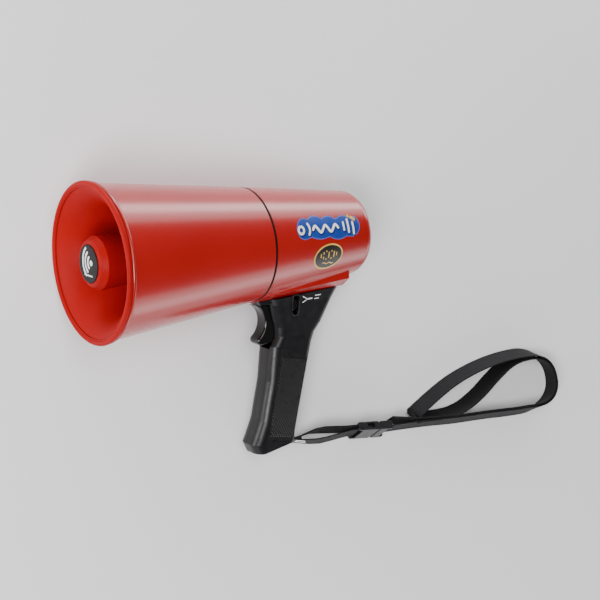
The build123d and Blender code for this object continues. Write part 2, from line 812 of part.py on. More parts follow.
with BuildPart() as latch_spring:
    with BuildSketch(Plane.XZ.offset(latch_face - 6.2 - slip)):
        with Locations((latch_x, latch_z - 1)):
            Rectangle(4.5, latch_length + 4)
    extrude(amount=-0.4)
keep(latch_spring, "latch_spring")

wire_path = (
    (switch_x + 8.1, 0, switch_z), (switch_x + 14.0, 0, switch_z + 1), (wire_hole_x - 4, 0, switch_z + 12),
    (wire_hole_x, 0, saddle_z(wire_hole_x) - 8), (wire_hole_x, 0, -board_half - 2),
    (board_front - 1.0, 0, -board_half + 3),
)
with BuildPart() as wire:
    with BuildLine() as wire_line:
        FilletPolyline(*wire_path, radius=1.6)
    with BuildSketch(Plane(wire_line.line @ 0, z_dir=wire_line.line % 0)):
        Circle(0.8)
    sweep(path=wire_line.line)
keep(wire, "signal_wire")

# ---------------------------------------------------------------- strap lug and ring
with BuildPart() as lug:
    with BuildSketch(Plane.XZ):
        with Locations((lug_x, lug_z)):
            Circle(lug_radius)
            with Locations((-5.5, 0)):
                Rectangle(11, 2 * lug_radius)
    extrude(amount=lug_half_width, both=True)
    with BuildSketch(Plane.XZ):
        with Locations((lug_x, lug_z)):
            Circle(ring_wire + 0.25)
    extrude(amount=lug_half_width, both=True, mode=Mode.SUBTRACT)
keep(lug, "strap_lug")

ring_half = ring_inside / 2 + ring_wire
bar_x = lug_x + ring_reach * cos(radians(ring_droop))
bar_z = lug_z - ring_reach * sin(radians(ring_droop))
with BuildPart() as ring:
    with BuildLine() as ring_line:
        FilletPolyline(
            (lug_x, 0, lug_z), (lug_x, ring_half, lug_z), (bar_x, ring_half, bar_z),
            (bar_x, -ring_half, bar_z), (lug_x, -ring_half, lug_z), (lug_x, -0.3, lug_z), radius=2.6,
        )
    with BuildSketch(Plane(ring_line.line @ 0, z_dir=ring_line.line % 0)):
        Circle(ring_wire)
    sweep(path=ring_line.line)
keep(ring, "strap_ring")

# ---------------------------------------------------------------- stickers and printed symbol
sticker_thickness = 0.25


def sticker(outline):
    """A thin sheet on the rear body's -Y side, cut to the outline drawn side on."""
    with BuildPart() as sheet:
        with BuildSketch(Plane.XZ):
            with BuildLine():
                front, rear = body_front + 1, shoulder
                Polyline(
                    (front, body_radius(front)), (rear, body_radius(rear)),
                    (rear, body_radius(rear) + sticker_thickness),
                    (front, body_radius(front) + sticker_thickness), close=True,
                )
            make_face()
        revolve(axis=Axis.X)
        with BuildSketch(Plane.XZ.offset(10)):
            add(outline)
        extrude(amount=80, mode=Mode.INTERSECT)
    return sheet


with BuildSketch() as wavy:
    with Locations((parting + 69.5, 16.5)):
        with Locations(Rotation(0, 0, -3)):
            RectangleRounded(82, 20, 8)
with BuildSketch() as oval:
    with Locations((parting + 67.6, -12.0)):
        with Locations(Rotation(0, 0, 4)):
            Ellipse(19.0, 12.9)
keep(sticker(wavy.sketch), "sticker_wavy")
keep(sticker(oval.sketch), "sticker_oval")

# ---------------------------------------------------------------- laying the megaphone down
# It rests on the mouth's lip, the rear shoulder and the handle's heel.
lip_x, lip_r = lip_radius, mouth_radius - lip_radius
shoulder_x, shoulder_r = shoulder, rear_radius - rear_rounding
span, drop = shoulder_x - lip_x, lip_r - shoulder_r
tilt = atan2(drop, span) + asin((lip_radius - rear_rounding) / hypot(span, drop))
axis_height = lip_x * sin(tilt) + lip_r * cos(tilt) + lip_radius
contact_x = heel_x - grip_rear_round
contact_z = heel_z - heel_rise * grip_rear_round / (heel_x - toe_x)
contact_height = (axis_height - contact_x * sin(tilt)) / cos(tilt)
contact_reach = hypot(grip_half_width, contact_z)
roll = asin(contact_height / contact_reach) - atan2(grip_half_width, -contact_z)
turned = Rotation(0, degrees(tilt), 0) * Rotation(-90 + degrees(roll), 0, 0)
laid = {name: piece.moved(turned) for name, piece in pieces.items()}
box = Compound(children=list(laid.values())).bounding_box()
middle = Location((-(box.min.X + box.max.X) / 2, -(box.min.Y + box.max.Y) / 2, -box.min.Z))
to_row = middle * turned      # from the upright drawing to where the megaphone lies
print("height of the box", round(box.size.Z, 2), "axis at the mouth", round(axis_height + box.min.Z, 2))


def row_point(x, y, z):
    """Where a point of the upright drawing lies."""
    return (to_row * Location((x, y, z))).position


def row_axis(x, y, z):
    """Where a direction of the upright drawing points."""
    return row_point(x, y, z) - row_point(0, 0, 0)


placed = {name: piece.moved(to_row) for name, piece in pieces.items()}

# ---------------------------------------------------------------- webbing and buckle, as they lie
# The strap stands on its edge on the table. Its places are measured from the ring's outer bar.
bar = row_point(bar_x, 0, bar_z)
print("ring's outer bar at", bar)
buckle_start = (65.5, -3.1)
buckle_turn = -7.0
buckle_wall = 2.0
socket_length = 26.0
web_slot = 3.2
buckle_end_bar = 2.6
buckle_bar_thickness = 3.0
buckle_plane = Plane(
    origin=(bar.X + buckle_start[0], bar.Y + buckle_start[1], 0),
    x_dir=(cos(radians(buckle_turn)), sin(radians(buckle_turn)), 0), z_dir=(0, 0, 1),
)
web_margin = (buckle_height - webbing_width) / 2 - 0.4


with BuildPart() as socket:
    with BuildSketch(buckle_plane):
        with Locations((socket_length / 2, 0)):
            RectangleRounded(socket_length, buckle_thickness, 2.2)
    extrude(amount=buckle_height)
    inner_thickness = buckle_thickness - 2 * buckle_wall
    cuts = (
        (buckle_end_bar, web_slot, buckle_thickness + 2, web_margin, buckle_height - web_margin),
        (8.0, socket_length, inner_thickness, buckle_wall, buckle_height - buckle_wall),
        (11.5, 8.5, inner_thickness, -1.0, buckle_height + 1.0),
    )
    for x, length, thickness, low, high in cuts:
        with BuildSketch(buckle_plane.offset(low)):
            with Locations((x + length / 2, 0)):
                Rectangle(length, thickness)
        extrude(amount=high - low, mode=Mode.SUBTRACT)
    thin_half = (buckle_thickness + buckle_bar_thickness) / 2
    with BuildSketch(buckle_plane.offset(web_margin)):
        with Locations((0, thin_half), (0, -thin_half)):
            Rectangle(4 * buckle_end_bar, buckle_thickness)
    extrude(amount=buckle_height - 2 * web_margin, mode=Mode.SUBTRACT)
placed["buckle_socket"] = socket.part

plug_start = socket_length + slip
plug_length = buckle_length - plug_start
prong = inner_thickness - 2 * slip - 0.2
prong_low = buckle_wall + slip + 0.1
with BuildPart() as plug:
    with BuildSketch(buckle_plane):
        with Locations((plug_start + plug_length / 2, 0)):
            RectangleRounded(plug_length, buckle_thickness, 2.2)
    extrude(amount=buckle_height)
    slot_x = plug_start + plug_length - buckle_end_bar - web_slot
    with BuildSketch(buckle_plane.offset(web_margin)):
        with Locations((slot_x + web_slot / 2, 0)):
            Rectangle(web_slot, buckle_thickness + 2)
        with Locations((buckle_length, thin_half), (buckle_length, -thin_half)):
            Rectangle(2 * buckle_end_bar, buckle_thickness)
    extrude(amount=buckle_height - 2 * web_margin, mode=Mode.SUBTRACT)
    prongs = (
        (10.0, prong_low, 4.5), (10.0, buckle_height - prong_low - 4.5, 4.5),
        (15.0, buckle_height / 2 - 2, 4.0),
    )
    for x, low, tall in prongs:
        with BuildSketch(buckle_plane.offset(low)):
            with Locations(((x + plug_start + 1) / 2, 0)):
                Rectangle(plug_start + 1 - x, prong)
        extrude(amount=tall)
placed["buckle_plug"] = plug.part

# the tether goes round the ring's bar and the buckle's thin bar
tether_low = (buckle_height - webbing_width) / 2 - 0.1
ring_end = 4.6
buckle_end = buckle_bar_thickness / 2 + 0.4 + webbing_thickness
buckle_x, buckle_y = buckle_start
with BuildPart() as tether:
    with BuildSketch(Plane(origin=(bar.X, bar.Y, tether_low), x_dir=(1, 0, 0), z_dir=(0, 0, 1))):
        with BuildLine():
            loop_rear = buckle_x + buckle_end_bar + 0.4 + webbing_thickness
            Polyline(
                (-ring_end, ring_end), (20, ring_end + 0.6), (42, ring_end - 2.2),
                (loop_rear, buckle_y + buckle_end - 0.3), (loop_rear, buckle_y - buckle_end - 0.3),
                (42, -ring_end - 2.2), (20, -ring_end + 0.4), (-ring_end, -ring_end), close=True,
            )
        make_face()
        corners = vertices().sort_by(Axis.X)
        fillet(corners[:2], ring_end - 0.1)
        fillet(corners[-2:], buckle_end - 0.1)
        fillet(corners[2:-2], 18)
        offset(amount=-webbing_thickness, mode=Mode.SUBTRACT)
    extrude(amount=webbing_width)
placed["strap_tether"] = tether.part


def corner_radii(route, share=0.45):
    """The largest tangent arc that each corner's two runs allow."""
    radii = []
    for before, corner, after in zip(route, route[1:], route[2:]):
        one, two = Vector(*before) - Vector(*corner), Vector(*after) - Vector(*corner)
        half_turn = radians(180 - one.get_angle(two)) / 2
        radii.append(share * min(one.length, two.length) / tan(half_turn))
    return radii


def webbing(route, name):
    """A band of webbing on its edge along a route measured from the ring's bar."""
    points = [(bar.X + x, bar.Y + y) for x, y in route]
    radii = corner_radii(points)
    with BuildPart() as band:
        with BuildSketch():
            with BuildLine() as line:
                FilletPolyline(*points, radius=radii)
            trace(line.line, line_width=webbing_thickness)
        extrude(amount=webbing_width)
    placed[name] = band.part
    length = sum(edge.length for edge in line.edges())
    share = band.part.volume / (webbing_thickness * webbing_width * length)
    print(name, "length", round(length, 1), "volume over section x length", round(share, 3))


# the outer turn of the wrist loop, from the buckle round to the fold
outer_route = (
    (107.6, -8.3), (157.5, -11.1), (200.5, -15.6), (242.5, -17.2), (283.5, -20.6), (319.5, -20.8),
    (341.5, -4.6), (338.5, 27.4), (314.5, 45.9), (267.5, 45.9), (220.5, 36.9), (181.5, 22.4), (144.5, 1.4),
)
# the inner turn, from the fold to the cut end that is sewn on beside the buckle
inner_route = (
    (147.5, -3.1), (173.5, -5.4), (201.5, -5.1), (229.5, 6.4), (257.5, 26.4), (283.5, 40.9), (313.0, 42.1),
    (336.0, 26.4), (338.5, -3.6), (318.0, -18.3), (282.5, -18.1), (241.5, -14.7), (199.5, -12.9),
    (157.5, -8.2), (131.5, -4.1), (110.5, 0.9),
)
webbing(outer_route, "strap_outer")
webbing(inner_route, "strap_inner")

# the fold that joins them
with BuildPart() as fold:
    with BuildSketch(Plane(origin=(bar.X, bar.Y, 0), x_dir=(1, 0, 0), z_dir=(0, 0, 1))):
        with BuildLine() as fold_line:
            start, end = outer_route[-1], inner_route[0]
            TangentArc(start, end, tangent=Vector(*start) - Vector(*outer_route[-2]))
        trace(fold_line.line, line_width=webbing_thickness)
    extrude(amount=webbing_width)
placed["strap_fold"] = fold.part

# ---------------------------------------------------------------- writing the pieces
for name, piece in placed.items():
    piece.label = name
    export_step(piece, f"parts/{name}.step")
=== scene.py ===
"""Looks of the handheld megaphone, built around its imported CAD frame. Metres throughout."""
import bmesh
import bpy
import json
import math
from mathutils import Matrix, Vector


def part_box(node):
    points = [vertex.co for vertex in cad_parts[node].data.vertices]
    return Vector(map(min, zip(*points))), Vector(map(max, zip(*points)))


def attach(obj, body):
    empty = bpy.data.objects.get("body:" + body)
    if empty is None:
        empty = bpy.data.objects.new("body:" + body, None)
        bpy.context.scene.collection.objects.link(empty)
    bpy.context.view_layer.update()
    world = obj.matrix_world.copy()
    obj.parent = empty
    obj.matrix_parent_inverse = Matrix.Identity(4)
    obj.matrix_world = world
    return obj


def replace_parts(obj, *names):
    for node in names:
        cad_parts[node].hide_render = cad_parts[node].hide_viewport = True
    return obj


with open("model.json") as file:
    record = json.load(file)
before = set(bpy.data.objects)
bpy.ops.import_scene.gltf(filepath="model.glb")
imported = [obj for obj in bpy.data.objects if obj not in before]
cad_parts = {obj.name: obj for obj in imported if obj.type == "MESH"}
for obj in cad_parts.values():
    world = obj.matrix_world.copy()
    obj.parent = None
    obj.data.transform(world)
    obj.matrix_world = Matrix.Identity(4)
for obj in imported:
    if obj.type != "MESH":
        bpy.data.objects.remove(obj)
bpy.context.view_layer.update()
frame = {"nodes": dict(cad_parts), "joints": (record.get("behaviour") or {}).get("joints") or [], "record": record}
MM = 0.001
joints = {joint["name"]: joint for joint in frame["joints"]}

# ------------------------------------------------------------------ the megaphone's own axes
# The origin is the middle of the mouth: x to the rear, z away from the handle.
mouth = Vector(joints["horn_twist"]["pos_m"])
axis_x = Vector(joints["horn_twist"]["axis"])
axis_y = Vector(joints["ring_swing"]["axis"])
axis_z = -Vector(joints["latch_slide"]["axis"])
own = Matrix((axis_x, axis_y, axis_z)).transposed().to_4x4()
own.translation = mouth


def at(x, y, z):
    """A place given in millimetres along the megaphone's own axes."""
    return own @ Vector((x * MM, y * MM, z * MM))


# ------------------------------------------------------------------ camera, floor and lights
def turn_to(right, up, back):
    return Matrix((right, up, back)).transposed()


view_azimuth, view_elevation = math.radians(-36.14), math.radians(12.43)
sin_a, cos_a = math.sin(view_azimuth), math.cos(view_azimuth)
sin_e, cos_e = math.sin(view_elevation), math.cos(view_elevation)
right = Vector((cos_a, sin_a, 0))
up = Vector((-sin_a * sin_e, cos_a * sin_e, cos_e))
back = Vector((sin_a * cos_e, -cos_a * cos_e, sin_e))
camera_data = bpy.data.cameras.new("camera")
camera_data.lens = 80.2
camera_data.sensor_width = 36.0
camera = bpy.data.objects.new("camera", camera_data)
bpy.context.collection.objects.link(camera)
eye = 190.3 * right - 32.3 * up + 1200 * back
turned = own.to_3x3()
camera.matrix_world = Matrix.Translation(at(*eye)) @ turn_to(
    turned @ right, turned @ up, turned @ back).to_4x4()
camera_data.clip_end = 200
bpy.context.scene.camera = camera


# ------------------------------------------------------------------ materials
def new_material(name):
    material = bpy.data.materials.new(name)
    material.use_nodes = True
    nodes, links = material.node_tree.nodes, material.node_tree.links
    shader = nodes["Principled BSDF"]
    return material, nodes, links, shader


def noise(nodes, links, scale, detail=3.0, roughness=0.5):
    """A noise in the object's own coordinates, in which one unit is a metre."""
    place = nodes.new("ShaderNodeTexCoord")
    texture = nodes.new("ShaderNodeTexNoise")
    texture.inputs["Scale"].default_value = scale
    texture.inputs["Detail"].default_value = detail
    texture.inputs["Roughness"].default_value = roughness
    links.new(place.outputs["Object"], texture.inputs["Vector"])
    return texture


def spread(nodes, links, source, low, high, start=0.3, end=0.7):
    """Maps a texture's middle range to the range low to high."""
    ranger = nodes.new("ShaderNodeMapRange")
    ranger.inputs["From Min"].default_value = start
    ranger.inputs["From Max"].default_value = end
    ranger.inputs["To Min"].default_value = low
    ranger.inputs["To Max"].default_value = high
    links.new(source, ranger.inputs["Value"])
    return ranger.outputs["Result"]


def two_colours(nodes, links, source, dark, light):
    ramp = nodes.new("ShaderNodeValToRGB")
    ramp.color_ramp.elements[0].position = 0.35
    ramp.color_ramp.elements[0].color = (*dark, 1)
    ramp.color_ramp.elements[1].position = 0.65
    ramp.color_ramp.elements[1].color = (*light, 1)
    links.new(source, ramp.inputs["Fac"])
    return ramp.outputs["Color"]


def bump(nodes, links, shader, height, strength, distance, edge=0.0):
    """Surface relief from a height, and edges that look rounded by the radius edge."""
    node = nodes.new("ShaderNodeBump")
    if edge:
        bevel = nodes.new("ShaderNodeBevel")
        bevel.samples = 4
        bevel.inputs["Radius"].default_value = edge
        links.new(bevel.outputs["Normal"], node.inputs["Normal"])
    node.inputs["Strength"].default_value = strength
    node.inputs["Distance"].default_value = distance
    links.new(height, node.inputs["Height"])
    links.new(node.outputs["Normal"], shader.inputs["Normal"])


def plastic(name, dark, light, rough, coat=0.0, grain=900.0, grain_depth=0.00004, patch=35.0,
            specular=0.5, edge=0.0004, uneven=0.2):
    """Moulded plastic: cloudy colour, uneven gloss and a fine surface grain."""
    material, nodes, links, shader = new_material(name)
    cloud = noise(nodes, links, patch, 4)
    colour = two_colours(nodes, links, cloud.outputs["Fac"], dark, light)
    links.new(colour, shader.inputs["Base Color"])
    smear = noise(nodes, links, patch * 5, 6, 0.65)
    links.new(spread(nodes, links, smear.outputs["Fac"], rough * (1 - uneven), rough * (1 + uneven)),
              shader.inputs["Roughness"])
    shader.inputs["Coat Weight"].default_value = coat
    shader.inputs["Coat Roughness"].default_value = 0.15
    shader.inputs["Specular IOR Level"].default_value = specular
    fine = noise(nodes, links, grain, 2)
    bump(nodes, links, shader, fine.outputs["Fac"], 0.35, grain_depth, edge)
    return material


def metal(name, colour, rough, grain=600.0):
    """Bare metal with a faintly cloudy polish."""
    material, nodes, links, shader = new_material(name)
    shader.inputs["Metallic"].default_value = 1.0
    cloud = noise(nodes, links, 120, 4)
    dark = tuple(c * 0.8 for c in colour)
    clouded = two_colours(nodes, links, cloud.outputs["Fac"], dark, colour)
    links.new(clouded, shader.inputs["Base Color"])
    smear = noise(nodes, links, grain, 3)
    gloss = spread(nodes, links, smear.outputs["Fac"], rough * 0.7, rough * 1.4)
    links.new(gloss, shader.inputs["Roughness"])
    bump(nodes, links, shader, smear.outputs["Fac"], 0.2, 0.00002)
    return material


def woven(name, dark, light):
    """Nylon webbing: slanted picks across the band's width, in the mesh's UV metres."""
    material, nodes, links, shader = new_material(name)
    place = nodes.new("ShaderNodeUVMap")
    parts = nodes.new("ShaderNodeSeparateXYZ")
    links.new(place.outputs["UV"], parts.inputs["Vector"])

    def maths(operation, a, b=None):
        node = nodes.new("ShaderNodeMath")
        node.operation = operation
        for socket, value in zip(node.inputs, (a, b)):
            if value is None:
                continue
            if isinstance(value, (int, float)):
                socket.default_value = value
            else:
                links.new(value, socket)
        return node.outputs[0]

    rib_pitch, pick_pitch = 0.0021, 0.0016
    ribs = 2 * math.pi / rib_pitch
    picks = 2 * math.pi / pick_pitch
    across = maths("MULTIPLY", parts.outputs["Y"], ribs)
    along = maths("MULTIPLY", parts.outputs["X"], picks)
    zigzag = maths("ABSOLUTE", maths("SINE", maths("MULTIPLY", across, 0.5)))
    slanted = maths("SINE", maths("ADD", along, maths("MULTIPLY", zigzag, 2.6)))
    columns = maths("ABSOLUTE", maths("SINE", maths("MULTIPLY", across, 0.5)))
    height = maths("ADD", maths("MULTIPLY", slanted, 0.35), columns)
    fuzz = noise(nodes, links, 2500, 3)
    total = maths("ADD", height, maths("MULTIPLY", fuzz.outputs["Fac"], 0.5))
    # painted shade: the colour follows the weave's height, darker in the hollows between ribs and picks and
    # lighter on their crowns; the fuzz adds random tone
    weave_shade_and_fuzz = spread(nodes, links, total, 0.0, 1.0, -0.1, 1.5)
    mixer = nodes.new("ShaderNodeMix")
    mixer.data_type = "RGBA"
    mixer.inputs["A"].default_value = (*dark, 1)
    mixer.inputs["B"].default_value = (*light, 1)
    links.new(weave_shade_and_fuzz, mixer.inputs["Factor"])
    links.new(mixer.outputs["Result"], shader.inputs["Base Color"])
    shader.inputs["Roughness"].default_value = 0.72
    shader.inputs["Specular IOR Level"].default_value = 0.22
    shader.inputs["Sheen Weight"].default_value = 0.03
    shader.inputs["Sheen Roughness"].default_value = 0.4
    bump(nodes, links, shader, total, 0.8, 0.00022)
    return material


RED = plastic("bell_red", (0.33, 0.0022, 0.0018), (0.37, 0.0030, 0.0024), 0.25, 0.30, 700, 0.000002, 9,
              uneven=0.05)
FLARE = plastic("flare_red", (0.29, 0.0006, 0.0006), (0.33, 0.0010, 0.0010), 0.50, 0.0, 700, 0.000002, 9,
                0.10, uneven=0.05)
BLACK = plastic("handle_black", (0.0048, 0.0046, 0.0058), (0.0072, 0.0069, 0.0085), 0.33, 0.0, 2600,
                0.00003, specular=0.34)
GRIP = plastic("grip_black", (0.0040, 0.0039, 0.0048), (0.0066, 0.0064, 0.0076), 0.30, 0.0, 2600, 0.00003,
               specular=0.55, edge=0.0)
GLOSS = plastic("trigger_black", (0.0022, 0.0022, 0.0026), (0.0034, 0.0034, 0.0040), 0.12, 0.0, 420,
                0.00001, specular=0.5)
BADGE = plastic("badge_black", (0.0030, 0.0026, 0.0030), (0.0046, 0.0040, 0.0046), 0.30, 0.0, 900, 0.00001,
                specular=0.12)
DULL = plastic("inner_black", (0.008, 0.008, 0.009), (0.014, 0.014, 0.015), 0.5, 0.0, 1800, 0.00006,
               specular=0.3)
BUCKLE = plastic("buckle_black", (0.0055, 0.0055, 0.0068), (0.0085, 0.0085, 0.0102), 0.30, 0.0, 2400,
                 0.00004, specular=0.4, edge=0.0008)
STEEL = metal("steel", (0.72, 0.70, 0.67), 0.2)
MAGNET = metal("magnet_iron", (0.20, 0.20, 0.20), 0.45)
COPPER = metal("coil_copper", (0.65, 0.30, 0.14), 0.3)
JACKET = plastic("cell_jacket", (0.02, 0.06, 0.16), (0.03, 0.09, 0.22), 0.25, 0.3)
# black rubber of the seals; the same material also paints the shade of the parting gap, in the band laid over the
# parting line
SEAL_RUBBER_AND_GAP_SHADE = plastic("seal_rubber", (0.002, 0.002, 0.002), (0.004, 0.004, 0.004), 0.7, specular=0.1)
BOARD = plastic("board_green", (0.01, 0.10, 0.035), (0.015, 0.14, 0.05), 0.35, 0.3)
CHIPS = plastic("component_black", (0.015, 0.015, 0.015), (0.03, 0.03, 0.03), 0.4)
FILM = plastic("diaphragm_film", (0.20, 0.12, 0.04), (0.28, 0.18, 0.07), 0.4)
WIRE = plastic("wire_black", (0.012, 0.012, 0.012), (0.02, 0.02, 0.02), 0.45)
WEB = woven("webbing_black", (0.0012, 0.0012, 0.0018), (0.0052, 0.0052, 0.0066))


def ink(name, dark, light, rough=0.34, specular=0.35):
    """The thin printed film of the labels and symbols."""
    return plastic(name, dark, light, rough, 0.0, 1200, 0.00001, 60, specular)


BLUE = ink("print_blue", (0.008, 0.040, 0.26), (0.011, 0.050, 0.31))
NAVY = ink("print_navy", (0.003, 0.008, 0.07), (0.004, 0.011, 0.09))
PALE_BLUE = ink("print_pale_blue", (0.07, 0.13, 0.42), (0.09, 0.16, 0.47))
WHITE = ink("print_white", (0.78, 0.79, 0.82), (0.86, 0.87, 0.88), 0.4)
GOLD = ink("print_gold", (0.62, 0.36, 0.05), (0.76, 0.48, 0.10), 0.32, 0.4)
LABEL = ink("print_black", (0.010, 0.009, 0.009), (0.017, 0.016, 0.015))

LOOKS = {
    "bell_red": RED, "flare_red": FLARE, "handle_black": BLACK, "grip_black": GRIP,
    "trigger_black": GLOSS, "inner_black": DULL, "steel": STEEL, "magnet_iron": MAGNET,
    "cell_jacket": JACKET, "seal_rubber": SEAL_RUBBER_AND_GAP_SHADE, "board_green": BOARD, "component_black": CHIPS,
    "diaphragm_film": FILM, "coil_copper": COPPER, "wire_black": WIRE, "webbing_black": WEB,
    "buckle_black": BUCKLE, "sticker_blue": BLUE, "sticker_black": LABEL,
}
for subpart in frame["record"]["subparts"]:
    node = frame["nodes"][subpart["node"]]
    node.data.materials.clear()
    node.data.materials.append(LOOKS[subpart["material_slot"]])
frame["nodes"]["emblem_badge"].data.materials[0] = BADGE


# ------------------------------------------------------------------ mesh helpers
def mesh_piece(name, verts, faces, material, body, smooth=True, uvs=None):
    """A new piece that rides on a body; uvs is one pair for each vertex."""
    mesh = bpy.data.meshes.new(name)
    mesh.from_pydata([tuple(v) for v in verts], [], faces)
    mesh.materials.append(material)
    if uvs:
        layer = mesh.uv_layers.new(name="UVMap")
        for loop in mesh.loops:
            layer.data[loop.index].uv = uvs[loop.vertex_index]
    if smooth:
        mesh.polygons.foreach_set("use_smooth", [True] * len(mesh.polygons))
    mesh.update()
    piece = bpy.data.objects.new(name, mesh)
    bpy.context.collection.objects.link(piece)
    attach(piece, body)
    return piece


def spline_points(points, resolution=12):
    """Points along the smooth NURBS curve that has the route's points as its control points."""
    curve = bpy.data.curves.new("route", "CURVE")
    curve.dimensions = "3D"
    curve.resolution_u = resolution
    spline = curve.splines.new("NURBS")
    spline.points.add(len(points) - 1)
    for point, place in zip(spline.points, points):
        point.co = (*place, 1)
    spline.order_u = 3
    spline.use_endpoint_u = True
    holder = bpy.data.objects.new("route", curve)
    bpy.context.collection.objects.link(holder)
    mesh = bpy.data.meshes.new_from_object(holder)
    line = [v.co.copy() for v in mesh.vertices]
    bpy.data.objects.remove(holder)
    bpy.data.meshes.remove(mesh)
    return line


WEB_WIDTH, WEB_THICK = 0.020, 0.0014
# half of the band's section, in half widths and half thicknesses: a bead runs along each edge
HALF_SECTION = ((-1, 0.0), (-0.985, 0.7), (-0.93, 1.0), (-0.86, 0.86), (0, 0.92),
                (0.86, 0.86), (0.93, 1.0), (0.985, 0.7), (1, 0.0))
BACK_UV = 0.05  # keeps the band's two faces apart in its UV map


def ribbon(name, line, lean, body, closed=False, fixed_side=None):
    """Webbing along a line. lean(x) is the angle, at that x, by which it leans off upright.

    It leans to the left of its run, or to fixed_side.
    """
    section = list(HALF_SECTION) + [(a, -b) for a, b in HALF_SECTION[-2:0:-1]]
    count, ring = len(line), len(section)
    verts, uvs, run = [], [], 0.0
    for i, place in enumerate(line):
        before = line[i - 1] if i or closed else place
        after = line[(i + 1) % count] if i < count - 1 or closed else place
        along = (after - before).normalized()
        side = fixed_side or Vector((0, 0, 1)).cross(along).normalized()
        angle = lean(place.x)
        wide = math.cos(angle) * Vector((0, 0, 1)) + math.sin(angle) * side
        thick = along.cross(wide).normalized()
        for a, b in section:
            verts.append(place + wide * (a * WEB_WIDTH / 2) + thick * (b * WEB_THICK / 2))
            uvs.append((run, a * WEB_WIDTH / 2 + (0 if b >= 0 else BACK_UV)))
        if i < count - 1:
            run += (line[i + 1] - place).length
    faces = []
    for i in range(count if closed else count - 1):
        for j in range(ring):
            k = (j + 1) % ring
            a, b = i * ring, ((i + 1) % count) * ring
            faces.append((a + j, a + k, b + k, b + j))
    if not closed:
        faces.append(tuple(range(ring))[::-1])
        faces.append(tuple((count - 1) * ring + j for j in range(ring)))
    return mesh_piece(name, verts, faces, WEB, body, uvs=uvs)


# ------------------------------------------------------------------ wrist strap and buckle
def clamped(value):
    return min(1.0, max(0.0, value))


LEAN = math.radians(27)        # of the webbing and the buckle, off upright
RING_LEAN = math.radians(14)   # of the tether where it goes round the ring
RING_DROOP = math.radians(14)  # of the ring's window below the megaphone's own x
RING_REACH = 0.013             # from the ring's pivot to its outer bar
BUCKLE_MIDDLE = 0.0130         # the buckle's middle line, above the table
BUCKLE_DRIFT = 0.0031          # that line's start, beside the ring's bar
BUCKLE_TURN = math.radians(-7)
LEVEL_X, LEVEL_RUN = 0.295, 0.040  # where the far turn begins to stand up, and how soon it has
LIFT_RUN = 0.035                   # how far the buckle lifts the webbing behind it
lug = Vector(joints["ring_swing"]["pos_m"])
bar = lug + own.to_3x3() @ Vector((math.cos(RING_DROOP), 0, -math.sin(RING_DROOP))) * RING_REACH
socket_low, socket_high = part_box("buckle_socket")
plug_low, plug_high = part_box("buckle_plug")
webbing_start = plug_high.x


def strap_lean(x):
    """The webbing leans less where it turns back at the far end."""
    share = clamped((x - bar.x - LEVEL_X) / LEVEL_RUN)
    return LEAN * (1 - 0.85 * share * share * (3 - 2 * share))


def strap_height(x):
    """Its middle's height on the table; the buckle lifts the webbing beside it."""
    calm = WEB_WIDTH / 2 * math.cos(strap_lean(x)) + 0.0007
    away = max(0.0, x - webbing_start)
    return calm + (BUCKLE_MIDDLE - calm) * math.exp(-(away / LIFT_RUN) ** 2)


def from_bar(route):
    """Route points in metres, measured from the ring's outer bar."""
    return [Vector((bar.x + x, bar.y + y, strap_height(bar.x + x))) for x, y in route]


outer_route = [
    (0.1055, -0.0080), (0.1575, -0.0111), (0.2005, -0.0156), (0.2425, -0.0172), (0.2835, -0.0206),
    (0.3195, -0.0208), (0.3415, -0.0046), (0.3385, 0.0274), (0.3145, 0.0459), (0.2675, 0.0459),
    (0.2205, 0.0369), (0.1815, 0.0224), (0.1445, 0.0014),
]
inner_route = [
    (0.1475, -0.0031), (0.1735, -0.0054), (0.2015, -0.0051), (0.2295, 0.0064), (0.2575, 0.0264),
    (0.2835, 0.0409), (0.3130, 0.0421), (0.3360, 0.0264), (0.3385, -0.0036), (0.3180, -0.0183),
    (0.2825, -0.0181), (0.2415, -0.0147), (0.1995, -0.0129), (0.1575, -0.0082), (0.1315, -0.0041),
    (0.1105, 0.0009),
]
outer_line = spline_points(from_bar(outer_route))
inner_line = spline_points(from_bar(inner_route))
strap_outer = ribbon("wrist_strap_outer", outer_line, strap_lean, "strap_rear")
strap_inner = ribbon("wrist_strap_inner", inner_line, lambda x: -strap_lean(x), "strap_rear")
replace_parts(strap_outer, "strap_outer")
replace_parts(strap_inner, "strap_inner")

# the fold between the two turns, a half circle that leans as they do
first, last = outer_line[-1], inner_line[0]
heading = (outer_line[-1] - outer_line[-3]).normalized()
middle, reach = (first + last) / 2, (first - last).length / 2
arm = (first - middle).normalized()
arc = [middle + reach * (math.cos(t) * arm + math.sin(t) * heading * 1.3)
       for t in [math.pi * i / 14 for i in range(15)]]
fold = ribbon("strap_fold_bend", arc, lambda x: LEAN, "strap_rear", fixed_side=Vector((0, -1, 0)))
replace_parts(fold, "strap_fold")

# the tether, a flat loop round the ring's bar and the buckle's bar
BAR_RADIUS = 0.0016
buckle_bar_x = socket_low.x + 0.0022
buckle_bar_y = bar.y - BUCKLE_DRIFT
tether_run = buckle_bar_x - bar.x


def tether_share(x):
    """How far along the tether x is, from 0 at the ring to 1 at the buckle."""
    return clamped((x - bar.x) / tether_run)


def tether_point(x, y):
    return Vector((x, y, bar.z + tether_share(x) * (BUCKLE_MIDDLE - bar.z)))


turn = WEB_THICK / 2 + BAR_RADIUS
loop = []
for i in range(13):
    t = math.pi / 2 + math.pi * i / 12
    loop.append(tether_point(bar.x + turn * math.cos(t), bar.y + turn * math.sin(t)))
